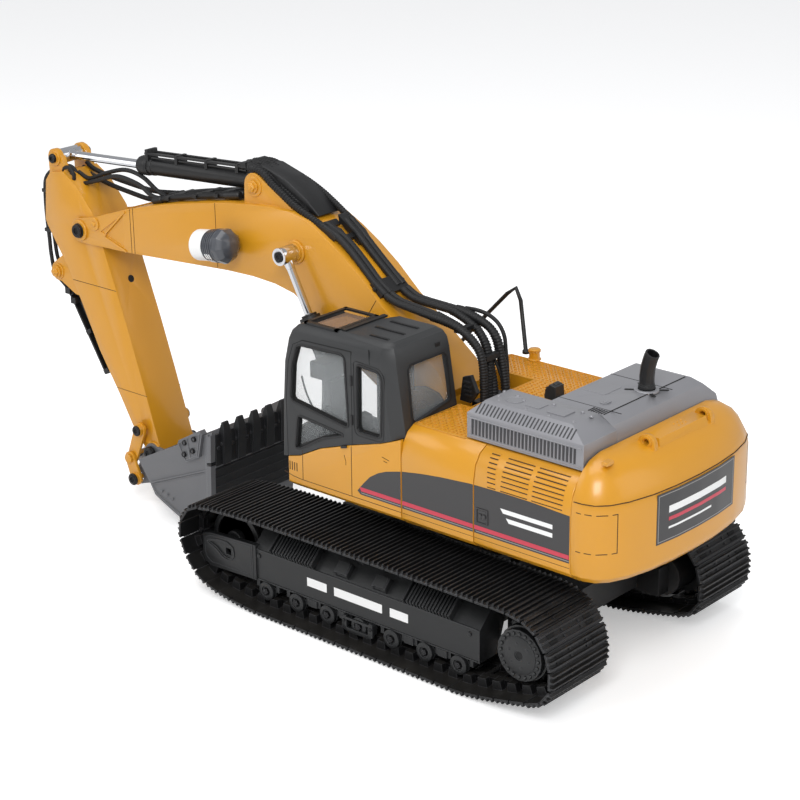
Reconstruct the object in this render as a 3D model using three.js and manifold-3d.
// Radio-controlled tracked excavator, one closed solid per physical piece.
// Units: millimetres. Frame: +X forward (towards the bucket), +Y left (cab side), +Z up.
// Dimensions below are measured from the swing axis of the upper body; the finished group is moved
// back by X_MID so that its origin is the middle of the whole machine's length, on the ground plane.
import * as THREE from 'three';
import { mergeVertices, mergeGeometries } from 'three/addons/utils/BufferGeometryUtils.js';
import Module from 'manifold-3d';

const wasm = await Module();
wasm.setup();

// ---------------------------------------------------------------- driving dimensions
const X_MID = 92.392;              // swing axis to the middle of the overall length
const GAP = 0.35;                 // running clearance between neighbouring pieces
const TRACK_HALF = 100;           // outer face of each track from the centre plane
const SHOE_IN = 45.6;             // inner edge of the shoes
const SHOE_T = 3.2;               // shoe plate thickness
const CHAIN_T = 3.4;              // chain link height inside the shoes
const CHAIN_Y = [60, 84];         // chain link width band
const SPROCKET = [-116.8, 33.6];  // rear drive sprocket axis (x, z)
const IDLER = [115.7, 33.4];      // front idler axis (x, z)
const ROLLER_X = [80, 54.6, 29.2, 3.8, -21.6, -47, -72.4];
const ROLLER_Z = 12.7;
const BODY_HALF = 76;             // upper body half width
const BODY_Z0 = 81;               // underside of the upper body
const DECK_Z = 140;               // tread plate height
const SEAM_CAB = -19.6, SEAM_MID = -73, SEAM_REAR = -140;
const BOOM_FOOT = [10, 128];
const BOOM_HALF = 18;
const BOOM_CYL_BASE = [58, 97];
const BOOM_CYL_EYE = [115, 206];
const BOOM_CYL_Y = [21.2, 33];
const ARM_CYL_BASE = [154, 240];
const ARM_PIVOT = [318, 184];
const ARM_HALF = 15.5;
const ARM_CYL_EYE = [346, 229];
const BUCKET_CYL_BASE = [350, 148];
const ROCKER_PIVOT = [266.8, 52.3];
const ROCKER_PIN = [275.86, 30.07];
const LINK_PIN = [270.5, 16.6];
const BUCKET_PIVOT = [258, 37.5];
const BUCKET_HALF = 38.5;

// ---------------------------------------------------------------- solids from three.js geometry
function solid(g) {
  let q = g.index ? g.clone() : g.clone();
  for (const k of Object.keys(q.attributes)) if (k !== 'position') q.deleteAttribute(k);
  q = mergeVertices(q, 1e-4);
  const m = new wasm.Mesh({
    numProp: 3,
    vertProperties: Float32Array.from(q.attributes.position.array),
    triVerts: Uint32Array.from(q.index.array),
  });
  return new wasm.Manifold(m);
}
const S = (x) => (x instanceof THREE.BufferGeometry ? solid(x) : x);
const add = (...a) => a.map(S).reduce((p, q) => p.add(q));
const cut = (a, ...b) => b.map(S).reduce((p, q) => p.subtract(q), S(a));
const common = (a, b) => S(a).intersect(S(b));
function geometry(m) {
  const mesh = S(m).getMesh();
  const g = new THREE.BufferGeometry();
  g.setAttribute('position', new THREE.BufferAttribute(Float32Array.from(mesh.vertProperties), 3));
  g.setIndex(new THREE.BufferAttribute(Uint32Array.from(mesh.triVerts), 1));
  return g;
}
function mirrorY(g) {                 // reflected copy with its faces still outward
  const q = (g instanceof THREE.BufferGeometry ? g : geometry(g)).clone();
  q.scale(1, -1, 1);
  if (!q.index) { const n = q.attributes.position.count; q.setIndex([...Array(n).keys()]); }
  const i = q.index.array;
  for (let k = 0; k < i.length; k += 3) { const t = i[k]; i[k] = i[k + 1]; i[k + 1] = t; }
  return q;
}
const shape = (pts) => new THREE.Shape(pts.map(([a, b]) => new THREE.Vector2(a, b)));
const ccw = (pts) => (THREE.ShapeUtils.area(pts.map(([a, b]) => new THREE.Vector2(a, b))) < 0 ? [...pts].reverse() : pts);
// polygon in the XZ plane, extruded from y0 to y1
function extY(pts, y0, y1) {
  const g = new THREE.ExtrudeGeometry(shape(ccw(pts)), { depth: y1 - y0, bevelEnabled: false, steps: 1 });
  g.rotateX(Math.PI / 2); g.translate(0, y1, 0); return g;
}
// polygon in the XY plane, extruded from z0 to z1
function extZ(pts, z0, z1) {
  const g = new THREE.ExtrudeGeometry(shape(ccw(pts)), { depth: z1 - z0, bevelEnabled: false, steps: 1 });
  g.translate(0, 0, z0); return g;
}
// polygon in the YZ plane, extruded from x0 to x1
function extX(pts, x0, x1) {
  const g = new THREE.ExtrudeGeometry(shape(ccw(pts)), { depth: x1 - x0, bevelEnabled: false, steps: 1 });
  g.applyMatrix4(new THREE.Matrix4().set(0, 0, 1, x0, 1, 0, 0, 0, 0, 1, 0, 0, 0, 0, 0, 1)); return g;
}
const box = (x0, x1, y0, y1, z0, z1) => {
  const g = new THREE.BoxGeometry(x1 - x0, y1 - y0, z1 - z0);
  g.translate((x0 + x1) / 2, (y0 + y1) / 2, (z0 + z1) / 2); return g;
};
const sides = (n) => (n <= 8 ? 6 : Math.round(n * 0.35) * 2);      // facets of a round part
// cylinder along Y at (x, z)
const cylY = (x, z, r, y0, y1, seg = 20) => {
  const g = new THREE.CylinderGeometry(r, r, y1 - y0, sides(seg)); g.translate(x, (y0 + y1) / 2, z); return g;
};
const cylZ = (x, y, r, z0, z1, seg = 20, r2 = r) => {
  const g = new THREE.CylinderGeometry(r2, r, z1 - z0, sides(seg)); g.rotateX(Math.PI / 2); g.translate(x, y, (z0 + z1) / 2); return g;
};
// cylinder in the XZ plane from distance s0 to s1 along the line a -> b, at lateral position y
function rodXZ(a, b, y, r, s0, s1, seg = 16, r2 = r) {
  const L = Math.hypot(b[0] - a[0], b[1] - a[1]);
  const d = [(b[0] - a[0]) / L, (b[1] - a[1]) / L];
  const g = new THREE.CylinderGeometry(r2, r, s1 - s0, sides(seg));
  g.rotateX(Math.PI / 2);                                   // axis on +Z
  g.rotateY(Math.atan2(d[0], d[1]));                        // turn +Z into d
  g.translate(a[0] + d[0] * (s0 + s1) / 2, y, a[1] + d[1] * (s0 + s1) / 2);
  return g;
}
// box aligned to the line a -> b (s along, h across, in the XZ plane)
function barXZ(a, b, s0, s1, h0, h1, y0, y1) {
  const L = Math.hypot(b[0] - a[0], b[1] - a[1]);
  const d = [(b[0] - a[0]) / L, (b[1] - a[1]) / L], n = [-d[1], d[0]];
  const p = (s, h) => [a[0] + d[0] * s + n[0] * h, a[1] + d[1] * s + n[1] * h];
  return extY([p(s0, h0), p(s1, h0), p(s1, h1), p(s0, h1)], y0, y1);
}
const circle = (c, r, n = 20, a0 = 0) => Array.from({ length: n }, (_, i) => [c[0] + r * Math.cos(a0 + 2 * Math.PI * i / n), c[1] + r * Math.sin(a0 + 2 * Math.PI * i / n)]);
const arc = (c, r, a, b, n) => Array.from({ length: n + 1 }, (_, i) => { const t = (a + (b - a) * i / n) * Math.PI / 180; return [c[0] + r * Math.cos(t), c[1] + r * Math.sin(t)]; });
// outline round two circles (a slotted link shape)
function linkOutline(a, ra, b, rb, n = 8) {
  const t = Math.atan2(b[1] - a[1], b[0] - a[0]) * 180 / Math.PI;
  return [...arc(b, rb, t - 90, t + 90, n), ...arc(a, ra, t + 90, t + 270, n)];
}
// polygon moved inwards by d
function inset(pts, d) {
  const p = ccw(pts), n = p.length, out = [];
  for (let i = 0; i < n; i++) {
    const a = p[(i + n - 1) % n], b = p[i], c = p[(i + 1) % n];
    const u = [b[0] - a[0], b[1] - a[1]], v = [c[0] - b[0], c[1] - b[1]];
    const lu = Math.hypot(...u), lv = Math.hypot(...v);
    const nu = [-u[1] / lu, u[0] / lu], nv = [-v[1] / lv, v[0] / lv];
    const k = 1 + nu[0] * nv[0] + nu[1] * nv[1];
    out.push([b[0] + d * (nu[0] + nv[0]) / k, b[1] + d * (nu[1] + nv[1]) / k]);
  }
  return out;
}
// closed solid through rings of equal length at rising heights
function loft(rings) {
  if (THREE.ShapeUtils.area(rings[0].map((p) => new THREE.Vector2(p[0], p[1]))) < 0) rings = rings.map((r) => [...r].reverse());
  const n = rings[0].length, pos = [], idx = [];
  for (const r of rings) for (const p of r) pos.push(...p);
  for (let k = 0; k + 1 < rings.length; k++) for (let i = 0; i < n; i++) {
    const a = k * n + i, b = k * n + (i + 1) % n, c = a + n, d = b + n;
    idx.push(a, b, d, a, d, c);
  }
  const cap = (k, up) => {
    const r = rings[k], c = pos.length / 3;
    pos.push(...[0, 1, 2].map((j) => r.reduce((t, p) => t + p[j], 0) / n));
    for (let i = 0; i < n; i++) up ? idx.push(k * n + i, k * n + (i + 1) % n, c) : idx.push(k * n + (i + 1) % n, k * n + i, c);
  };
  cap(0, false); cap(rings.length - 1, true);
  const g = new THREE.BufferGeometry();
  g.setAttribute('position', new THREE.Float32BufferAttribute(pos, 3)); g.setIndex(idx); return g;
}

// ---------------------------------------------------------------- materials
const mat = (name, color, roughness, metalness, extra = {}) => new THREE.MeshStandardMaterial({ name, color, roughness, metalness, ...extra });
const M = {
  yellow: mat('body_paint', 0xe2a03a, 0.42, 0.1),
  silver: mat('hood_paint', 0x8b8b8e, 0.45, 0.3),
  cab: mat('cab_plastic', 0x4a4a4c, 0.6, 0.0),
  black: mat('undercarriage_plastic', 0x1c1c1d, 0.6, 0.0),
  frame: mat('track_frame_plastic', 0x333335, 0.5, 0.0),
  track: mat('track_metal', 0x1a1a1b, 0.55, 0.3),
  bucket: mat('bucket_metal', 0x6d6d6f, 0.5, 0.4),
  chrome: mat('chrome', 0xd5d7da, 0.15, 1.0),
  steel: mat('fastener_steel', 0x55565a, 0.35, 0.9),
  rubber: mat('hose_rubber', 0x202022, 0.8, 0.0),
  glass: mat('window_glass', 0xcfd6d8, 0.08, 0.0, { transparent: true, opacity: 0.3 }),
  tint: mat('hatch_glass', 0xc89068, 0.15, 0.0, { transparent: true, opacity: 0.7 }),
  white: mat('lamp_white', 0xf0f0f0, 0.4, 0.0),
  cell: mat('battery_sleeve', 0x2b3f66, 0.5, 0.0),
};

// ---------------------------------------------------------------- scene graph
const excavator = new THREE.Group(); excavator.name = 'rc_excavator';
const sub = (parent, name, x, y, z) => { const g = new THREE.Group(); g.name = name; g.position.set(x, y, z); parent.add(g); return g; };
const machine = sub(excavator, 'machine', -X_MID, 0, 0);
const undercarriage = sub(machine, 'undercarriage', 0, 0, 0);
const upper = sub(machine, 'upper_body', 0, 0, BODY_Z0);
const boomG = sub(upper, 'boom_group', BOOM_FOOT[0], 0, BOOM_FOOT[1] - BODY_Z0);
const armG = sub(boomG, 'arm_group', ARM_PIVOT[0] - BOOM_FOOT[0], 0, ARM_PIVOT[1] - BOOM_FOOT[1]);
const bucketG = sub(armG, 'bucket_group', BUCKET_PIVOT[0] - ARM_PIVOT[0], 0, BUCKET_PIVOT[1] - ARM_PIVOT[1]);
const world = new Map([[undercarriage, [0, 0, 0]], [upper, [0, 0, BODY_Z0]], [boomG, [BOOM_FOOT[0], 0, BOOM_FOOT[1]]],
  [armG, [ARM_PIVOT[0], 0, ARM_PIVOT[1]]], [bucketG, [BUCKET_PIVOT[0], 0, BUCKET_PIVOT[1]]]]);
function piece(group, name, m, material, at) {
  const g = geometry(m), o = world.get(group), p = at || o;
  g.translate(-p[0], -p[1], -p[2]);
  const mesh = new THREE.Mesh(g, material);
  mesh.name = name; mesh.position.set(p[0] - o[0], p[1] - o[1], p[2] - o[2]);
  group.add(mesh); return mesh;
}

// ================================================================ UNDERCARRIAGE
// outer line of the endless track in side view
const TRACK_LINE = [
  [83, 0], [100, 1.6], [117, 4.4], [129.5, 9.2], [137.6, 16.2], [143, 24], [146.3, 32], [146.9, 39], [145.3, 46.5], [141, 53.4],
  [133, 59.2], [120, 62.2], [102, 63.5], [80, 64.4], [39, 65], [-40, 65], [-109, 64.6], [-123, 63.2], [-133.5, 58.8], [-141, 50.8],
  [-145.6, 41], [-147.1, 31], [-146.2, 22.5], [-142, 15], [-134, 10.4], [-122, 7.4], [-109, 4.6], [-94, 1.8], [-79, 0]];
const shoeIn = inset(TRACK_LINE, SHOE_T), chainIn = inset(TRACK_LINE, SHOE_T + CHAIN_T);
function belt() {
  // the shoe band, its outer corners eased, and the chain link band inside it
  const c = 2.2;
  const band = cut(add(extY(TRACK_LINE, SHOE_IN + c, TRACK_HALF - c), extY(inset(TRACK_LINE, 1.1), SHOE_IN, TRACK_HALF)), extY(shoeIn, SHOE_IN - 1, TRACK_HALF + 1));
  const chain = cut(extY(inset(TRACK_LINE, 1.5), ...CHAIN_Y), extY(chainIn, CHAIN_Y[0] - 1, CHAIN_Y[1] + 1));
  return add(band, chain);
}
const beltL = belt();
piece(undercarriage, 'track_belt_left', beltL, M.track);
piece(undercarriage, 'track_belt_right', mirrorY(beltL), M.track);

// drive sprocket: toothed wheel between the chain rails with a bolted cap disc outside
function sprocket() {
  const pts = [];
  const N = 18;
  for (let i = 0; i < N; i++) for (const [f, r] of [[0, 17.2], [0.34, 17.2], [0.5, 19.6], [0.84, 19.6]]) {
    const t = 2 * Math.PI * (i + f) / N; pts.push([SPROCKET[0] + r * Math.cos(t), SPROCKET[1] + r * Math.sin(t)]);
  }
  let w = add(extY(pts, 68, 76), cylY(...SPROCKET, 16.6, 74, 86, 28), cylY(...SPROCKET, 15.4, 85, 90, 28));
  return cut(w, cylY(...SPROCKET, 2.4, 87, 92, 12), cylY(...SPROCKET, 10.4, 67, 73, 24));
}
const spr = sprocket();
const spr0 = [SPROCKET[0], 0, SPROCKET[1]], idl0 = [IDLER[0], 0, IDLER[1]];
piece(undercarriage, 'sprocket_left', spr, M.frame, spr0);
piece(undercarriage, 'sprocket_right', mirrorY(spr), M.frame, spr0);
// final drive: gearbox carried by the chassis, its stub inside the sprocket
const fd = add(cylY(...SPROCKET, 13, 47, 66.5, 24), cylY(...SPROCKET, 9.6, 66, 72.4, 20), box(-120, -88, 49, 64, 24, 42));
piece(undercarriage, 'final_drive_left', fd, M.black);
piece(undercarriage, 'final_drive_right', mirrorY(fd), M.black);

// front idler: spoked rim and hub on a fixed axle of the track frame
let idler = cut(cylY(...IDLER, 19.9, 66, 78, 32), cylY(...IDLER, 16.6, 74.5, 79, 28), cylY(...IDLER, 16.6, 65, 69.5, 28));
idler = cut(add(idler, cylY(...IDLER, 6.5, 66, 79.4, 18)), cylY(...IDLER, 3.2, 60, 84, 14));
for (let i = 0; i < 6; i++) { const t = Math.PI * i / 3; idler = cut(idler, cylY(IDLER[0] + 11.2 * Math.cos(t), IDLER[1] + 11.2 * Math.sin(t), 2.9, 60, 84, 10)); }
piece(undercarriage, 'idler_left', idler, M.black, idl0);
piece(undercarriage, 'idler_right', mirrorY(idler), M.black, idl0);

// track frame: box beam with a slanted outer shelf, stepped front cover, carrier tubes and brackets
function trackFrame() {
  const sec = [[64, 18.2], [88, 17.8], [88, 38], [76.5, 49.4], [64, 49.4]];
  let f = cut(extX(sec, -87, 91), extX([[66, 14], [86, 14], [86, 37], [75.6, 46.6], [66, 46.6]], -84.5, 88.5));
  f = cut(f, extY([[-90, 10], [-80, 10], [-90, 55], [-96, 55]], 60, 70));
  // front cover plate over the idler
  f = add(f, extY([[88, 18], [127.5, 16.4], [132.6, 18.6], [134.4, 23], [134.4, 36.5], [128, 38.6], [97, 40.6], [88, 41]], 85.4, 89.3));
  f = add(f, cylY(...IDLER, 2.8, 63.2, 86, 14));                       // idler axle
  f = add(f, extY([[86, 24], [104, 24], [121, 29], [121, 37], [104, 42], [86, 42]], 62.2, 64.4)); // inner idler fork plate
  // eye-shaped recess of the cover
  f = cut(f, extY([[128.5, 32.6], [121, 34.5], [113.4, 35], [108.6, 33.2], [108, 28.4], [111.5, 25.6], [116.5, 26.4], [122, 30.6]], 88.2, 92));
  f = cut(f, box(110.6, 115.2, 80, 95, 27.4, 31.8));
  // steps on the shelf (two ribbed grips), small brackets
  for (const x of [58, -49]) f = add(f, extX([[78, 46.4], [80.4, 48.8], [88.4, 41.4], [87.6, 37.6]], x - 16, x + 16));
  for (const x of [18.5, -11.5]) f = add(f, extX([[80.5, 44], [82.6, 46.4], [87.6, 41.4], [86.4, 38.6]], x - 3.6, x + 3.6));
  // carrier tubes that hold up the top run, and thin guard rails beside them
  for (const x of [54.2, -33.7]) f = cut(add(f, cylY(x, 52.7, 3.9, 66, 77.5, 18)), cylY(x, 52.7, 2.6, 74, 79, 14));
  f = add(f, box(20, 88, 70.5, 72.5, 48, 51.4), box(-82, -40, 70.5, 72.5, 48, 51.4));
  // cross pads towards the chassis
  f = add(f, box(-72, -44, 52, 65, 22, 44), box(40, 68, 52, 65, 22, 44));
  return f;
}
const tf = trackFrame();
piece(undercarriage, 'track_frame_left', tf, M.frame);
piece(undercarriage, 'track_frame_right', mirrorY(tf), M.frame);

// lower rollers on their common carrier rail
function rollers() {
  let r = box(ROLLER_X[6] - 5, ROLLER_X[0] + 5, 70, 74, 12.2, 17.2);
  for (const x of ROLLER_X) {
    r = add(r, cylY(x, ROLLER_Z, 5.1, 66.5, 88.6, 18));
  }
  const x = ROLLER_X[3];
  return cut(add(r, extY([[x - 12, 17], [x - 12, 9.2], [x - 8, 8], [x + 8, 8], [x + 12, 9.2], [x + 12, 17]], 89.2, 90.6), box(x - 12, x - 9, 70, 90, 15.4, 17.2), box(x + 9, x + 12, 70, 90, 15.4, 17.2)),
    extY([[x - 8.5, 15.6], [x - 8.5, 10.4], [x + 8.5, 10.4], [x + 8.5, 15.6]], 89, 92));
}
const rl = rollers();
piece(undercarriage, 'lower_rollers_left', rl, M.frame);
piece(undercarriage, 'lower_rollers_right', mirrorY(rl), M.frame);

// chassis frame: X-shaped centre box carrying both track frames and the slewing ring
{
  let c = add(extZ([[-62, -38], [62, -38], [62, 38], [-62, 38]], 26, 60),
    extZ(circle([0, 0], 40.8, 32), 58, 66));
  for (const [x0, x1] of [[-72, -44], [40, 68]]) c = add(c, box(x0, x1, -51.6, 51.6, 24, 42), box(x0 + 4, x1 - 4, -41, 41, 40, 54));
  c = add(c, box(-106, -60, -38, 38, 26, 44));                        // travel motor bay
  c = cut(c, box(-58.5, 58.5, -34.5, 34.5, 28.8, 56.5), box(-102.5, -57, -34.5, 34.5, 28.8, 40.5)); // hollow inside
  c = cut(c, box(-7, 7, -25, -15, 20, 30));                             // window of the power switch
  c = cut(c, extZ(circle([0, 0], 12, 20), 50, 70));                   // wire passage
  // axle pads for the final drives
  c = add(c, box(-122, -92, 37, 46.7, 24, 42), box(-122, -92, -46.7, -37, 24, 42));
  piece(undercarriage, 'chassis_frame', c, M.black);
}
// sliding power switch in the floor of the chassis
piece(undercarriage, 'power_switch', add(box(-5.4, 5.4, -24, -16, 26.4, 31), box(-2.6, 2.6, -22, -18, 23.6, 27)), M.frame, [0, -20, 26]);

// slewing ring with outside gear teeth
const RING_N = 44, PIN_N = 11, MOD = 1.6, RING_R = RING_N * MOD / 2, PIN_R = PIN_N * MOD / 2;
function gear(c, N, m, phase, z0, z1, bore, addm = 0.85, dedm = 1.15) {
  const R = N * m / 2, ro = R + addm * m, ri = R - dedm * m, pts = [];
  const w = (f) => f / N * 2 * Math.PI;
  for (let i = 0; i < N; i++) {
    const t0 = 2 * Math.PI * i / N + phase;
    pts.push([c[0] + ri * Math.cos(t0 - w(0.29)), c[1] + ri * Math.sin(t0 - w(0.29))], [c[0] + ro * Math.cos(t0 - w(0.105)), c[1] + ro * Math.sin(t0 - w(0.105))],
      [c[0] + ro * Math.cos(t0 + w(0.105)), c[1] + ro * Math.sin(t0 + w(0.105))], [c[0] + ri * Math.cos(t0 + w(0.29)), c[1] + ri * Math.sin(t0 + w(0.29))]);
  }
  return cut(extZ(pts, z0, z1), extZ(circle(c, bore, 24), z0 - 1, z1 + 1));
}
piece(undercarriage, 'slew_ring_gear', cut(add(gear([0, 0], RING_N, MOD, 0, 66.4, 74, 26), extZ(circle([0, 0], 31, 36), 66.4, 79)), extZ(circle([0, 0], 26, 32), 60, 82)), M.steel);
const PIN_C = [-(RING_R + PIN_R + 0.15), 0];
// tooth space of the pinion faces the ring tooth on the -X side
piece(upper, 'swing_pinion', add(gear(PIN_C, PIN_N, MOD, Math.PI / PIN_N, 67.2, 73.6, 2.0), cut(cylZ(...PIN_C, 4.2, 73, 79.6, 16), cylZ(...PIN_C, 2.0, 60, 90, 12))), M.steel, [PIN_C[0], 0, 70]);

// ================================================================ UPPER BODY
// structural deck: base plate, bearing cap over the ring, boom foot brackets
{
  let d = extZ([[-139, -72], [62, -72], [69, -66], [71.5, -30], [71.5, 30], [69, 66], [65, 69.4], [-139, 69.4]], BODY_Z0, 86);
  d = cut(d, cylZ(...PIN_C, 6.0, 78, 90, 20));
  d = add(d, cut(extZ(circle([0, 0], 45, 40), 79.6, 83), extZ(circle([0, 0], 24, 32), 70, 90), cylZ(...PIN_C, 6.0, 70, 90, 20)));
  d = add(d, cut(extZ(circle([0, 0], 25.4, 32), 72, 84), extZ(circle([0, 0], 10, 20), 60, 90)));
  // boom foot side plates
  const plate = [[-22, 85], [70, 85], [66, 98], [62, 103], [55, 104], [34, 128], [20, 140.5], [10, 142.5], [0, 140.5], [-7, 133], [-14, 110]];
  for (const s of [-1, 1]) {
    let p = s > 0 ? S(extY(plate, 18.45, 20.7)) : S(extY(plate, -20.7, -18.45));
    p = add(p, cylY(...BOOM_CYL_BASE, 2.0, s > 0 ? 20 : -33.6, s > 0 ? 33.6 : -20, 12));
    d = add(d, p);
  }
  d = cut(d, cylY(...BOOM_FOOT, 3.4, -25, 25, 16));
  d = add(d, box(-20, -14, -20.7, 20.7, 85, 108));                   // cross wall behind the boom foot
  d = cut(d, box(-16.5, -10, -18, 18, 96, 112));
  piece(upper, 'upper_deck', d, M.black);
}
const sideOuter = [[72.4, 81], [76, 84.6], [76, 122], [74.4, 130.6], [70.4, 136.6], [64.4, 140]];
const sideStrip = (t) => [...sideOuter, [64.4, 140 - t], [69, 134.6 - t * 0.1], [72 - 0.2, 129.4], [76 - t, 121.6], [76 - t, 86.4], [69.8, 86.4], [69.8, 81]];
// counterweight
{
  const plan = [[SEAM_REAR - GAP, 76, 0], [-147, 75.8, 0.5], [-154, 73.6, 1], [-160, 67.6, 1], [-165, 57, 1], [-169.2, 40, 1], [-171.4, 20, 1], [-172, 0, 1]];
  const full = [...plan, ...plan.slice(0, -1).reverse().map(([x, y, w]) => [x, -y, w])];
  const xf = SEAM_REAR - GAP;
  const ring = (z, d) => full.map(([x, y]) => [xf + (x - xf) * (1 - d / 31.65), y * (1 - d / 76), z]);
  let w = S(loft([ring(81, 3.4), ring(84.6, 0.2), ring(88, 0), ring(123, 0), ring(129, 1.2), ring(137.5, 5.4), ring(142.6, 9.6), ring(146.4, 15.5), ring(148.6, 25)]));
  // lifting eyes with the raised block between them
  for (const y of [23.1, -32.2]) w = add(w, cut(extY([...arc([-152, 147.5], 5.6, 0, 180, 8), [-158, 143], [-146, 143]], y - 1.6, y + 1.6), cylY(-152, 148.8, 1.9, y - 3, y + 3, 10)));
  w = add(w, loft([[[-158, -28, 144], [-146, -28, 144], [-146, 19.5, 144], [-158, 19.5, 144]], [[-156.4, -27, 150.2], [-147, -27, 150.2], [-147, 18.5, 150.2], [-156.4, 18.5, 150.2]]]));
  // socket over the engine bay
  w = cut(w, box(-146, -138, -62, 62, 70, 136));
  piece(upper, 'counterweight', w, M.yellow);
}
// left covers; each is a thin moulded shell
const cabLine = [[74.7, 99.5], [60.5, 103.4], [44, 112], [20, 120], [-4, 127], [SEAM_CAB, 133]];      // joint between cab and yellow cover
piece(upper, 'left_front_cover', (() => {
  const outer = [[66, 81], [72, 83.6], [75.4, 88], [75.1, 98.9], [60.4, 102.9], [43.9, 111.5], [19.9, 119.5], [-4.1, 126.5], [SEAM_CAB + GAP, 132.4], [SEAM_CAB + GAP, 81]];
  const yz = [[20, 81], [72.4, 81], [76, 84.6], [76, 140], [20, 140]];
  const plan = [[-25, 20], [80, 20], [80, 30], [75.4, 70], [71, 76], [-25, 76]];
  let a = common(common(extY(outer, 36.5, 76), extX(yz, -30, 90)), extZ([[-25, 36.5], [76, 36.5], [75.4, 70], [70, 76], [-25, 76]], 70, 150));
  return cut(a, extZ([[-30, 30], [72.6, 30], [72.6, 68.6], [68.6, 73.1], [-30, 73.1]], 60, 150));
})(), M.yellow);
piece(upper, 'left_mid_cover', add(extX(sideStrip(2.6), SEAM_MID + GAP, SEAM_CAB - GAP), box(SEAM_MID + GAP, SEAM_CAB - 1.6, 24, 65, 137.4, DECK_Z), box(-28.6, -26, 24, 66, 120, 138.5)), M.yellow);
piece(upper, 'left_rear_door', extX(sideStrip(2.6), SEAM_REAR, SEAM_MID), M.yellow);
// right-hand casing with tread-plate top, front tank step and the engine bay top plate
{
  const yz = [[-34, 81.3], [-72.4, 81.3], [-76, 84.9], [-76, 122], [-74.4, 130.6], [-70.4, 136.6], [-64.4, 140], [-34, 140]];
  const xz = [[SEAM_REAR, 81.3], [70, 81.3], [73, 92], [70, 107], [52, 109.5], [48, 122], [22, 125.5], [16, 138], [12, 140], [SEAM_REAR, 140]];
  let r = common(extY(xz, -76, -36.2), extX(yz, -141, 76));
  const yzI = [[-20, 70], [-73.2, 70], [-73.2, 121.6], [-71.8, 129.4], [-68.6, 134.4], [-64, 137.4], [-20, 137.4]];
  const xzI = [[-150, 70], [67, 70], [70, 92], [67.4, 104.4], [49.6, 107], [45.6, 119.4], [20, 122.8], [13.6, 135.4], [10, 137.4], [-150, 137.4]];
  r = cut(r, common(extY(xzI, -77, -38.8), extX(yzI, -150, 76)));
  r = cut(r, box(-142, -28, -40, -30, 70, 137.4), box(-150, 72, -72.4, 0, 70, 86.3));
  r = add(r, box(SEAM_REAR, -28.3, -37, 23.6, 137.4, DECK_Z), box(-30.8, -28.3, -37, 23.6, 108, 138));
  r = add(r, box(SEAM_REAR, SEAM_MID + 0.2, 23, 64, 137.4, DECK_Z - 0.3));
  r = cut(r, box(-46, -28.4, -6, 16, 130, 150));                      // hose slot in the tread plate
  piece(upper, 'right_body', r, M.yellow);
}
// engine hood: slotted left part and main lift-off part
{
  const xz = [[-59, 141], [-58.6, 155.6], [-66, 162.6], [-126, 162.2], [-139.2, 155.6], [-139.4, 141]];
  const yz = [[34.2, 141], [64.6, 141], [64.2, 155.6], [56.4, 162.4], [34.2, 163]];
  let h = common(extY(xz, 34.2, 65), extX(yz, -140, -58));
  h = cut(h, common(extY(inset(xz, 1.8).map(([x, z]) => [x, z < 145 ? 138 : z]), 36, 66), extX([[36, 138], [62.6, 138], [62.3, 154.8], [55.6, 160.6], [36, 161]], -141, -57)));
  piece(upper, 'hood_left', h, M.silver);
  const yz2 = [[-67, 141], [-63.5, 149], [-50, 161], [-46, 162], [33.8, 162], [33.8, 141]];
  const xz2 = [[-91, 141], [-91.5, 160], [-94, 162], [-129, 162], [-136, 157], [-139.4, 150], [-139.4, 141]];
  const yz2i = [[-64.5, 138], [-61.5, 147.4], [-49, 158.6], [-45.6, 159.6], [31.8, 159.6], [31.8, 138]];
  let m = common(extY(xz2, -67, 33.8), extX(yz2, -140, -90));
  m = cut(m, common(extY(inset(xz2, 2).map(([x, z]) => [x, z < 145 ? 138 : z]), -66, 32), extX(yz2i, -141, -89)));
  m = cut(m, cylZ(-125, -14, 4.9, 150, 170, 20));
  piece(upper, 'hood_main', m, M.silver, [-115, -14, 141]);
}
// exhaust stack, cut off at a slant
{
  let e = add(cylZ(-125, -14, 4.5, 140.4, 166, 20), cylZ(-125, -14, 4.9, 163, 165, 20));
  const pipe = new THREE.ExtrudeGeometry(shape(circle([0, 0], 4.3, 12)), { steps: 4, bevelEnabled: false,
    extrudePath: new THREE.CatmullRomCurve3([[-125, -14, 164], [-125, -14, 172], [-126.3, -14, 179], [-129.5, -14, 187]].map((p) => new THREE.Vector3(...p))) });
  const hole = new THREE.ExtrudeGeometry(shape(circle([0, 0], 3.4, 12)), { steps: 4, bevelEnabled: false,
    extrudePath: new THREE.CatmullRomCurve3([[-125, -14, 168], [-125.2, -14, 173], [-126.5, -14, 179], [-130.4, -14, 189]].map((p) => new THREE.Vector3(...p))) });
  e = cut(add(e, pipe), hole);
  e = cut(e, extY([[-140, 178.6], [-124, 186.4], [-118, 196], [-145, 196]], -25, 0));
  piece(upper, 'exhaust_stack', e, M.black);
}
piece(upper, 'precleaner_cap', add(cylZ(-57, -16, 4.2, DECK_Z + 0.3, 146, 16), cylZ(-57, -16, 6.4, 145, 149, 18), cylZ(-57, -16, 6.4, 148.9, 151, 18, 4)), M.black);
piece(upper, 'fuel_cap', add(cylZ(-4, -66, 4.4, DECK_Z + 0.3, 145.4, 16), cylZ(-4, -66, 4.4, 145.3, 146.6, 16, 3)), M.yellow);
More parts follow.
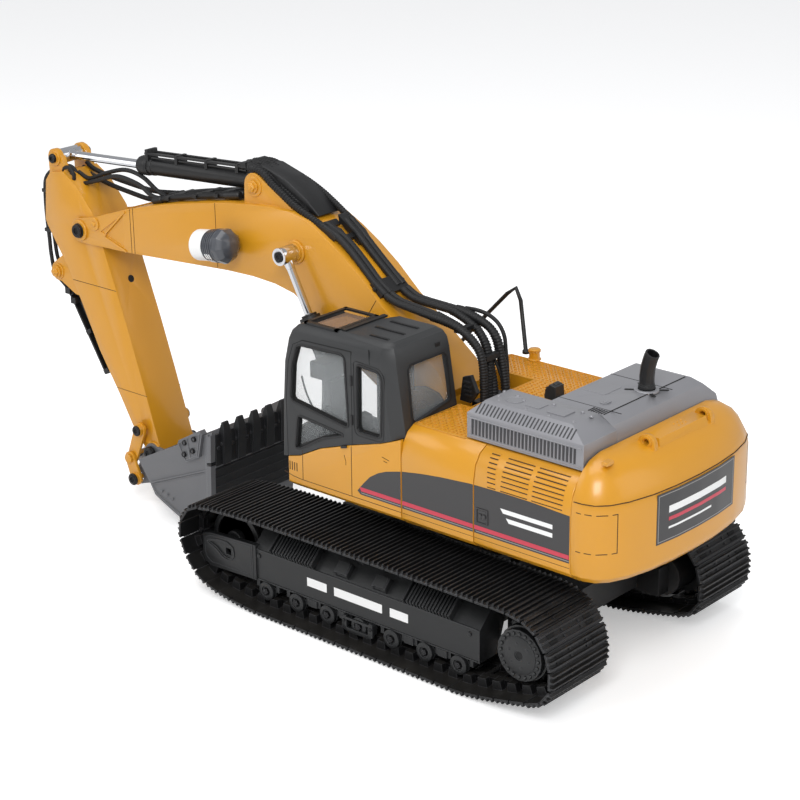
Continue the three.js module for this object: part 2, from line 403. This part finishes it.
// handrail: bent bar beside the right-hand steps
{
  const bar = (pts) => new THREE.ExtrudeGeometry(shape(circle([0, 0], 1.35, 6)), { steps: 16, bevelEnabled: false, extrudePath: new THREE.CatmullRomCurve3(pts.map((p) => new THREE.Vector3(...p)), false, 'catmullrom', 0.2) });
  let h = S(bar([[4.6, -70.6, DECK_Z + 0.3], [6.5, -70.6, 154], [9.4, -70.6, 175], [13, -70.6, 181.4], [20, -70.6, 176], [46, -70.6, 149], [62, -70.6, 131], [64.2, -70.6, 124], [64.4, -70.6, 108.6]]));
  h = add(h, cylZ(4.6, -70.6, 2.4, DECK_Z + 0.3, 142.4, 10), cylZ(64.4, -70.6, 2.4, 108.9, 111, 10));
  piece(upper, 'handrail', h, M.black);
}

// ---------------------------------------------------------------- cab
const cabRing = (z, xf, xr, e, yi = 24, yo = 76) => {
  const r = Math.max(1.5, 9 - e), rf = Math.max(1, 3.6 - e * 0.4);
  const P = [[xf - rf, yo - e], ...[60, 30].map((a) => [xf - rf + rf * Math.cos(a * Math.PI / 180), yo - e - rf + rf * Math.sin(a * Math.PI / 180)]), [xf, yo - e - rf],
    [xf, 36.2 + e], [27.6, 36.2 + e], [19.4 + e * 0.4, yi + e], [xr + 2, yi + e], [xr, yi + e + 2],
    [xr, yo - e - r], ...[210, 240].map((a) => [xr + r + r * Math.cos((390 - a) * Math.PI / 180 + 0), yo - e - r + r * Math.sin((390 - a) * Math.PI / 180)]), [xr + r, yo - e]];
  return P.map(([x, y]) => [x, y, z]).reverse();
};
{
  const lv = [[92, 76.2, -26.4, 0], [135, 74.6, -20.4, 0], [160, 72.6, -16.4, 0], [175, 68.8, -14.0, 0], [180.5, 66.2, -13.0, 0.7], [184, 62.4, -11.2, 2.2], [186.4, 56, -7.4, 5]];
  let c = S(loft(lv.map(([z, f, r, e]) => cabRing(z, f, r, e))));
  const t = 2.2;
  const lvI = [[90, 76.2 - t, -26.4 + t, t], [135, 74.6 - t, -20.4 + t, t], [160, 72.6 - t, -16.4 + t, t], [175, 68.8 - t, -14 + t, t], [180, 66 - t, -13 + t, t + 0.6], [184, 59, -9, t + 3]];
  c = cut(c, loft(lvI.map(([z, f, r, e]) => cabRing(z, f, r, e))));
  c = cut(c, extY([[80, 80], [80, 99.5], ...cabLine.slice(0), [-19.3, 134], [-19.3, 140.4], [-34, 140.4], [-34, 80]], 20, 80));   // wavy lower edge, stepped over the tread plate
  // left side openings: door window, lower window, narrow rear window
  c = cut(c, extY([[66.4, 139], [64.6, 160], [60.6, 171.4], [58, 172.8], [25.6, 174], [23.4, 172], [21.4, 131.6], [23, 130.6], [65, 137]], 68, 80));
  c = cut(c, extY([[61, 128.2], [25, 124.6], [42, 119], [60, 108], [63.6, 107.6]], 68, 80));
  c = cut(c, extY([[13, 170.4], [-2.6, 169.2], [-5, 166], [-4, 131.4], [-2, 130], [11.8, 130], [13.6, 132]], 68, 80));
  // right side openings
  c = cut(c, extY([[66, 122], [62.6, 166], [58, 171], [33, 171], [31.6, 168], [32, 122]], 30, 45));
  c = cut(c, extY([[14.6, 128], [14.6, 170], [-8, 170], [-13, 144], [-12, 141]], 20, 30));
  // windscreen, rear window, roof hatch
  c = cut(c, extX([[40.6, 116], [71, 112], [71, 168], [67.6, 174], [44, 174], [40.6, 171]], 64, 80));
  c = cut(c, extX([[31, 144.5], [62.4, 139.6], [64.6, 142], [63, 170], [61, 172], [32, 172], [30, 170]], -30, -8));
  c = cut(c, extZ([[33.4, 38.4], [55.4, 38.4], [55.4, 69.6], [33.4, 69.6]], 178, 190));
  piece(upper, 'cab_shell', c, M.cab);
  // glazing: thin panes behind the openings
  piece(upper, 'cab_left_glazing', cut(extY([[67.8, 136], [66, 160], [61.4, 173], [58, 175.4], [-3.4, 176], [-7.6, 166], [-7.6, 129.4], [22, 122.2], [44, 114.6], [58, 106.2], [65.6, 105.4]], 72.1, 73.1),
    extY([[63.6, 107], [61, 106.6], [59, 108], [40, 118.6]], 60, 61)), M.glass);
  piece(upper, 'cab_right_glazing', extY([[67.6, 119], [64, 167.4], [59, 173.4], [30.4, 173.4], [30.4, 119]], 38.8, 39.8), M.glass);
  const ws = [[40, 113.4], [71.6, 109.4], [71.6, 169], [68.4, 175], [43, 175], [40, 172]];
  piece(upper, 'cab_windscreen', common(extX(ws, 58, 74), extY([[73.4, 106], [72.4, 106], [70.7, 134], [68.7, 160], [65.0, 175], [61.4, 184], [62.6, 184], [66.0, 175], [69.8, 160], [71.8, 134]], 30, 80)), M.glass);
  piece(upper, 'cab_rear_glazing', common(extX([[28.6, 142], [65, 137], [66.8, 142], [65, 173.6], [29, 174]], -30, 0), extY([[-17.0, 137], [-13.2, 160], [-10.6, 176], [-9.4, 176], [-12, 160], [-15.8, 137]], 20, 80)), M.glass);
  piece(upper, 'cab_roof_hatch', loft([[183.9, 0], [184.9, 0.8]].map(([z, e]) => [[34 + e, 39 + e, z], [54.8 - e, 39 + e, z], [54.8 - e, 69 - e, z], [34 + e, 69 - e, z]])), M.tint);
}
// seat, console and control levers inside the cab
{
  let s = add(box(4, 34, 42, 66, 108, 118), extY([[2, 116], [10, 117], [3, 150], [-5, 150]], 43, 65), box(10, 28, 46, 62, 88, 109));
  piece(upper, 'operator_seat', s, M.black);
  let k = add(box(40, 60, 41, 46, 88, 112), box(40, 60, 62, 67, 88, 105), box(40, 60, 41, 67, 87, 91), box(57, 60, 41, 60, 88, 124));
  for (const y of [43.5, 64.5]) k = add(k, cylZ(48, y, 0.9, 103, 124, 8), cylZ(48, y, 1.7, 122, 127, 8));
  piece(upper, 'control_console', k, M.frame);
}
// works inside the upper body
piece(upper, 'battery_pack', box(-136, -78, -30, 28, 88, 112), M.cell);
piece(upper, 'swing_motor', add(cut(cylZ(...PIN_C, 12, 86.4, 92, 24), cylZ(...PIN_C, 4.0, 80, 88, 12)), cylZ(...PIN_C, 9.6, 91.6, 116, 24)), M.steel);

// ================================================================ BOOM
const BOOM_TOP = [[303, 195.6], [272, 206], [250, 212], [228, 217], [203, 222], [178, 226.4], [153, 229.4], [136, 230.8], [119, 230.2], [105, 226.6], [92, 220], [78, 211.4], [63, 200.6], [46, 185.6], [20, 166.6], [1.4, 152.4], [-5, 141]];
const BOOM_BOT = [[24.6, 121], [46, 131], [66, 142.6], [84, 151.4], [98, 161.6], [106, 171], [118, 178.6], [134, 181.8], [153, 183], [176, 182.6], [202, 181], [240, 178.6], [272, 176.8], [296, 176]];
const boomFoot = arc(BOOM_FOOT, 15, 150, 330, 10);
const boomTip = arc(ARM_PIVOT, 8.6, -80, 95, 10);
const BOOM_OUT = [...boomTip, ...BOOM_TOP, ...boomFoot, ...BOOM_BOT];
{
  let b = S(extY(BOOM_OUT, -BOOM_HALF, BOOM_HALF));
  // hollow inside, open at the forked tip where the arm turns between the side plates
  const inTop = [[262, 204.6], [228, 213.4], [203, 218.6], [178, 223], [153, 226], [136, 227.4], [119.6, 226.8], [106.4, 223.4], [93.6, 217], [80, 208.6], [65, 197.8], [48, 182.8], [30, 169.4]];
  const inBot = [[38, 131], [64.6, 145.6], [82.4, 154.4], [96, 164.2], [104, 173.6], [117, 181.8], [134, 185.2], [153, 186.4], [176, 186], [202, 184.4], [240, 182], [262, 180.6]];
  b = cut(b, extY([...inTop, ...inBot], -15.9, 15.9));
  b = cut(b, extY([[262, 204.6], [266, 218], [345, 225], [345, 160], [266, 166], [262, 180.6], [255, 190]], -15.9, 15.9));
  // ears for the arm cylinder
  const ear = [[163, 226], [162.6, 238], ...arc(ARM_CYL_BASE, 8.6, 0, 130, 7), [118, 228.6], [120, 226]];
  b = add(b, extY(ear, 10, 13.6), extY(ear, -13.6, -10));
  b = add(b, cylY(...ARM_CYL_BASE, 2.0, -13, 13, 12));
  for (const s of [1, -1]) {
    const y = (a, c) => (s > 0 ? [a, c] : [-c, -a]);
    b = add(b, cylY(...BOOM_CYL_EYE, 6.2, ...y(17, 20.8), 20), cylY(...BOOM_CYL_EYE, 2.0, ...y(20, 33.4), 12));
    b = add(b, cylY(...ARM_CYL_BASE, 4.2, ...y(13.3, 15.2), 6));                                  // hex nut
    // raised V-shaped stiffener on each side of the tip
    b = cut(b, extY([[297, 186.8], [273.5, 202.6], [273.5, 179.6]], ...y(17.3, 18.6)));
  }
  b = cut(b, cylY(...ARM_PIVOT, 3.4, -22, 22, 16), cylY(...BOOM_FOOT, 3.4, -22, 22, 16));
  piece(boomG, 'boom', b, M.yellow);
}
piece(boomG, 'arm_pivot_pin', add(cylY(...ARM_PIVOT, 3.0, -18.6, 18.6, 16), cylY(...ARM_PIVOT, 5.2, 18.4, 20.2, 16), cylY(...ARM_PIVOT, 5.2, -20.2, -18.4, 16)), M.steel);
piece(upper, 'boom_foot_pin', add(cylY(...BOOM_FOOT, 3.0, -21.4, 21.4, 16), cylY(...BOOM_FOOT, 5.6, 21.1, 22.8, 16), cylY(...BOOM_FOOT, 5.6, -22.8, -21.1, 16)), M.steel);
// work light on the left flank of the boom
{
  const L = [[-21.5, 0], [-21.2, 4.4], [-18.6, 7.8], [-13.6, 10.6], [-6, 11.3], [-5.8, 10.4], [9, 9.2], [9.2, 9.8], [21.2, 9.8], [21.8, 9.2], [21.8, 0]].map(([a, r]) => new THREE.Vector2(r, a));
  const g = new THREE.LatheGeometry(L, 20); g.rotateZ(-Math.PI / 2); g.rotateY(0.14); g.translate(178, 30.4, 201.6);
  let l = add(g, box(176, 188, 18.4, 24, 196, 206));
  piece(boomG, 'work_light', l, M.cab);
}
// pipes clipped along the boom top, hose bundle down its back, manifold over the ears
{
  const up = (k) => BOOM_TOP.map(([x, z]) => [x, z]);
  const strip = (pts, d0, d1, y0, y1) => {
    const o = [], i = [];
    for (let k = 0; k < pts.length; k++) {
      const a = pts[Math.max(0, k - 1)], c = pts[Math.min(pts.length - 1, k + 1)];
      const t = [c[0] - a[0], c[1] - a[1]], L = Math.hypot(...t), n = [t[1] / L, -t[0] / L];
      o.push([pts[k][0] + n[0] * d1, pts[k][1] + n[1] * d1]); i.push([pts[k][0] + n[0] * d0, pts[k][1] + n[1] * d0]);
    }
    return extY([...o, ...i.reverse()], y0, y1);
  };
  const run = BOOM_TOP.filter(([x]) => x <= 251 && x >= 165);
  let p = add(strip(run, 0.9, 3.6, 3, 12), strip(run, 0.9, 3.6, -12, -3));
  for (const x of [238, 208, 182]) { const i = run.findIndex((q) => q[0] < x); const a = run[i - 1], b = run[i]; const z = a[1] + (b[1] - a[1]) * (a[0] - x) / (a[0] - b[0]); p = add(p, box(x - 2, x + 2, -13, 13, z + 0.8, z + 4.2)); }
  piece(boomG, 'boom_pipes', p, M.black);
  const back = BOOM_TOP.filter(([x]) => x <= 100 && x >= 40);
  let h = add(strip(back, 1.2, 5.2, -12, -2), strip(back, 1.2, 5.2, 2, 12));
  for (const c of [[84, 215.2], [52, 191]]) h = add(h, barXZ(c, [c[0] - 10, c[1] - 7.4], -2, 2, -6.4, -1.0, -13.6, 13.6));
  piece(boomG, 'boom_hose_bundle', h, M.rubber);
  piece(boomG, 'hose_manifold', extY([[170, 249.4], [167, 252.6], [150, 252.6], [132, 247.2], [114, 237.4], [103, 228.6], [105, 227.6], [119, 231.6], [132, 235.4], [141, 243.8], [150, 247.8], [160, 249]], -9.2, 9.2), M.black);
}

// ---------------------------------------------------------------- boom cylinders
function boomBarrel() {
  const a = BOOM_CYL_BASE, b = BOOM_CYL_EYE, y = (BOOM_CYL_Y[0] + BOOM_CYL_Y[1]) / 2;
  let t = add(rodXZ(a, b, y, 5.9, 8, 82, 18), rodXZ(a, b, y, 6.1, 74.6, 82.2, 18), cylY(...a, 5.2, ...BOOM_CYL_Y, 18), rodXZ(a, b, y, 4.6, 2, 10, 14));
  t = cut(t, cylY(...a, 2.4, BOOM_CYL_Y[0] - 1, BOOM_CYL_Y[1] + 1, 12), rodXZ(a, b, y, 4.6, 11.5, 84, 18));
  return t;
}
function boomRod() {
  const a = BOOM_CYL_EYE, b = BOOM_CYL_BASE, y = (BOOM_CYL_Y[0] + BOOM_CYL_Y[1]) / 2;
  const t = add(cylY(...a, 5.6, ...BOOM_CYL_Y, 20), rodXZ(a, b, y, 2.6, 3, 108, 16), rodXZ(a, b, y, 3.4, 4.4, 9, 16, 2.7));
  return cut(t, cylY(...a, 2.4, BOOM_CYL_Y[0] - 1, BOOM_CYL_Y[1] + 1, 12));
}
const bb = boomBarrel(), br = boomRod();
const bb0 = [BOOM_CYL_BASE[0], 27.1, BOOM_CYL_BASE[1]], br0 = [BOOM_CYL_EYE[0], 27.1, BOOM_CYL_EYE[1]];
piece(upper, 'boom_cylinder_barrel_left', bb, M.black, bb0);
piece(upper, 'boom_cylinder_barrel_right', mirrorY(bb), M.black, [bb0[0], -27.1, bb0[2]]);
piece(boomG, 'boom_cylinder_rod_left', br, M.chrome, br0);
piece(boomG, 'boom_cylinder_rod_right', mirrorY(br), M.chrome, [br0[0], -27.1, br0[2]]);

// ---------------------------------------------------------------- arm cylinder
{
  const a = ARM_CYL_BASE, b = ARM_CYL_EYE;
  let t = add(cylY(...a, 5.8, -9, 9, 18), rodXZ(a, b, 0, 4.8, 3, 10, 16), rodXZ(a, b, 0, 5.9, 9, 118, 22), rodXZ(a, b, 0, 6.5, 108, 116, 22), rodXZ(a, b, 0, 6.5, 10, 14, 22));
  t = cut(t, cylY(...a, 2.4, -12, 12, 12), rodXZ(a, b, 0, 3.45, 14, 121, 18));
  // hose guard: rail on posts above the barrel
  t = add(t, barXZ(a, b, 18, 110, 8.2, 9.5, -4.4, -2.2), barXZ(a, b, 18, 110, 8.2, 9.5, 2.2, 4.4));
  for (const s of [24, 52, 80, 108]) t = add(t, barXZ(a, b, s - 1.2, s + 1.2, 4.2, s > 100 ? 11.6 : 10, -4.6, 4.6));
  piece(boomG, 'arm_cylinder_barrel', t, M.black, [a[0], 0, a[1]]);
  let r = add(cylY(...b, 5.2, -8.5, 8.5, 18), rodXZ(b, a, 0, 3.0, 3, 108, 18), rodXZ(b, a, 0, 4.2, 4, 10, 16, 3.1));
  piece(boomG, 'arm_cylinder_rod', r, M.chrome, [b[0], 0, b[1]]);
}

// ================================================================ ARM
const ARM_OUT = [[348.5, 219], [335.8, 221.2], [323.1, 214.2], [307.5, 197.4], [298.4, 174.6], [288, 147], [278.4, 120.8], [266.9, 87.2], [252.6, 42.8],
  ...arc(BUCKET_PIVOT, 6.8, 165, 330, 9), [279, 52.4], [290.3, 71.8], [308.3, 99.7], [321.4, 126], [335.4, 153], [345, 167], [354.6, 180.6], [356.6, 185], [353.4, 212.8]];
{
  let a = S(extY(ARM_OUT, -ARM_HALF, ARM_HALF));
  const inner = [[347, 216], [336, 218.2], [325, 212.4], [310.2, 196], [301.2, 173.8], [291, 146.6], [281.4, 119.8], [270, 86.4], [262.4, 62], [272, 62], [287.8, 73.2], [305.6, 101], [318.8, 127.4], [332.8, 154.4], [342.6, 168.6], [351.6, 181.4], [353.4, 185.4], [350.4, 211.2]];
  a = cut(a, extY(inner, -13, 13));
  a = add(a, cylY(...ARM_PIVOT, 8, -13.5, 13.5, 20));                                       // pivot tube
  // slot in the lower front web for the bucket cylinder rod
  a = cut(a, extY([[276, 92], [262.4, 56.5], [266, 40], [276, 38], [312, 88], [312, 96], [305, 100], [290, 100]], -9.4, 9.4));
  // ears for the arm cylinder rod and for the bucket cylinder
  const e1 = [[333, 216], [338.6, 231], ...arc(ARM_CYL_EYE, 6.2, 160, 10, 8), [351.6, 214], [345, 212]];
  a = add(a, extY(e1, 9.2, 13), extY(e1, -13, -9.2));
  const e2 = [[331, 148], [345, 160], ...arc(BUCKET_CYL_BASE, 6.8, 60, -110, 8), [333, 134.6], [324, 134]];
  a = add(a, extY(e2, 9.2, 13), extY(e2, -13, -9.2), cylY(...BUCKET_CYL_BASE, 2.0, -13, 13, 12));
  for (const s of [1, -1]) {
    const y = (p, q) => (s > 0 ? [p, q] : [-q, -p]);
    a = add(a, cylY(...ARM_CYL_EYE, 4.4, ...y(12.8, 14.6), 14), cylY(...BUCKET_CYL_BASE, 4.2, ...y(12.8, 14.8), 6));
  }
  a = cut(a, cylY(...ARM_CYL_EYE, 11.6, -8.9, 8.9, 24));
  a = cut(a, cylY(...ARM_PIVOT, 3.4, -20, 20, 16), cylY(...BUCKET_PIVOT, 2.9, -20, 20, 14), cylY(...ROCKER_PIVOT, 2.6, -20, 20, 14));
  a = cut(a, extX(circle([0, 151], 2, 12), 284, 297));                                       // drain hole in the rear web
  piece(armG, 'arm', a, M.yellow);
}
piece(armG, 'bucket_pivot_pin', add(cylY(...BUCKET_PIVOT, 2.5, -18.8, 18.8, 16), cylY(...BUCKET_PIVOT, 4.6, 18.5, 20.4, 16), cylY(...BUCKET_PIVOT, 4.6, -20.4, -18.5, 16)), M.steel);
{
  const a = BUCKET_CYL_BASE, b = ROCKER_PIN;
  let t = add(cylY(...a, 5.2, -8.8, 8.8, 16), rodXZ(a, b, 0, 4.4, 2, 10, 14), rodXZ(a, b, 0, 5.4, 8, 82, 18), rodXZ(a, b, 0, 5.9, 75, 81, 18));
  t = cut(t, cylY(...a, 2.4, -12, 12, 12), rodXZ(a, b, 0, 2.7, 12, 85, 14));
  // guard rail along the front of the barrel
  t = add(t, barXZ(a, b, 14, 78, 6.8, 8.2, -6, 6));
  for (const s of [16, 46, 76]) t = add(t, barXZ(a, b, s - 1.5, s + 1.5, 3.6, 8.6, -6, 6));
  piece(armG, 'bucket_cylinder_barrel', t, M.black, [a[0], 0, a[1]]);
  const r = add(cylY(...b, 3.3, -17.8, 17.8, 16), cylY(...b, 4.6, -6, 6, 16), rodXZ(b, a, 0, 2.3, 2, 86, 14));
  piece(armG, 'bucket_cylinder_rod', r, M.chrome, [b[0], 0, b[1]]);
}
{
  let r = S(cylY(...ROCKER_PIVOT, 2.2, -20.4, 20.4, 14));
  for (const s of [1, -1]) {
    const y = (p, q) => (s > 0 ? [p, q] : [-q, -p]);
    r = add(r, extY(linkOutline(ROCKER_PIVOT, 5, ROCKER_PIN, 4.4), ...y(18.4, 20.4)), cylY(...ROCKER_PIVOT, 4.2, ...y(20.3, 22.6), 14),
      cylY(...ROCKER_PIN, 2.2, ...y(20.3, 23.3), 12), cylY(...ROCKER_PIN, 3.4, ...y(23.2, 24.4), 12));
  }
  piece(armG, 'rocker_link', r, M.yellow, [ROCKER_PIVOT[0], 0, ROCKER_PIVOT[1]]);
  let l = S(cylY(...LINK_PIN, 2.0, -22.8, 22.8, 14));
  for (const s of [1, -1]) {
    const y = (p, q) => (s > 0 ? [p, q] : [-q, -p]);
    l = add(l, cut(extY(linkOutline(ROCKER_PIN, 4.6, LINK_PIN, 5), ...y(20.8, 22.8)), cylY(...ROCKER_PIN, 2.6, -30, 30, 14)), cylY(...LINK_PIN, 4.2, ...y(22.7, 24.8), 14));
  }
  piece(armG, 'push_link', l, M.yellow, [ROCKER_PIN[0], 0, ROCKER_PIN[1]]);
}

// ================================================================ BUCKET
{
  const out = [[176.4, 76.2], [178.5, 53], [178.5, 22], [180.2, 12], [186, 6], [196, 4.4], [213.8, 10.4], [225.2, 15.2], [233.8, 19.2], [238.2, 26.6], [248.8, 41]];
  const inn = [[174.5, 79], [180.7, 53], [180.7, 22.6], [182.2, 13.6], [187.2, 8.4], [196, 6.8], [213, 12.6], [224.2, 17.4], [232.2, 21], [236, 27.6], [246.4, 41.6], [252, 50], [200, 100]];
  let b = cut(extY(out, -BUCKET_HALF, BUCKET_HALF), extY(inn, -36.3, 36.3));
  // side plates stand a little proud of the mouth
  const side = [[176, 78], [175.8, 72], [178.6, 52], [200, 50], [238, 30], [249, 41]];
  b = add(b, extY(side, 36.3, BUCKET_HALF), extY(side, -BUCKET_HALF, -36.3));
  // side edge stiffener down the front corner
  for (const s of [1, -1]) {
    const y = (p, q) => (s > 0 ? [p, q] : [-q, -p]);
    b = add(b, extY([[178.8, 76], [178.8, 24], [182.4, 24], [182.4, 74.4]], ...y(38.2, 39.4)));
    // hinge ears
    const e = [[236, 22], ...arc(LINK_PIN, 5.4, -125, 35, 8), ...arc(BUCKET_PIVOT, 6.2, 35, 130, 6), [247, 42], [234, 40]];
    b = add(b, extY(e, ...y(16, 18.1)));
    b = cut(b, cylY(...LINK_PIN, 3.0, -30, 30, 16), cylY(...BUCKET_PIVOT, 2.9, -30, 30, 16));
  }
  b = cut(b, extY([...arc(BUCKET_PIVOT, 9.4, 100, 330, 12), [262, 36]], -15.95, 15.95));
  // bolted side cutters
  for (const s of [1, -1]) {
    const y = (p, q) => (s > 0 ? [p, q] : [-q, -p]);
    b = add(b, extY([[206, 63.8], [205, 66.4], [184.6, 78], [182.6, 75.6], [186.4, 59], [199, 52.6]], ...y(36.4, 41.2)));
    for (const q of [[189.6, 71], [191.4, 62.4], [198.6, 66.4], [199.6, 58]]) b = add(b, cylY(...q, 1.7, ...y(41, 42.4), 6));
  }
  piece(bucketG, 'bucket', b, M.bucket);
  // lip with five teeth
  let t = extY([[175.9, 76.6], [176.7, 70], [178.1, 53.3], [176.9, 53.3], [175.2, 76.6]], -36, 36);
  for (const y of [27, 13.6, 0.2, -13.1, -26.6]) t = add(t, extY([[177.6, 53.6], [175.0, 54.4], [173.6, 76], [175.0, 82.3], [176.4, 82.3], [176.3, 77], [176.0, 74]], y - 2.9, y + 2.9));
  piece(bucketG, 'bucket_teeth', t, M.bucket);
}

export default excavator;
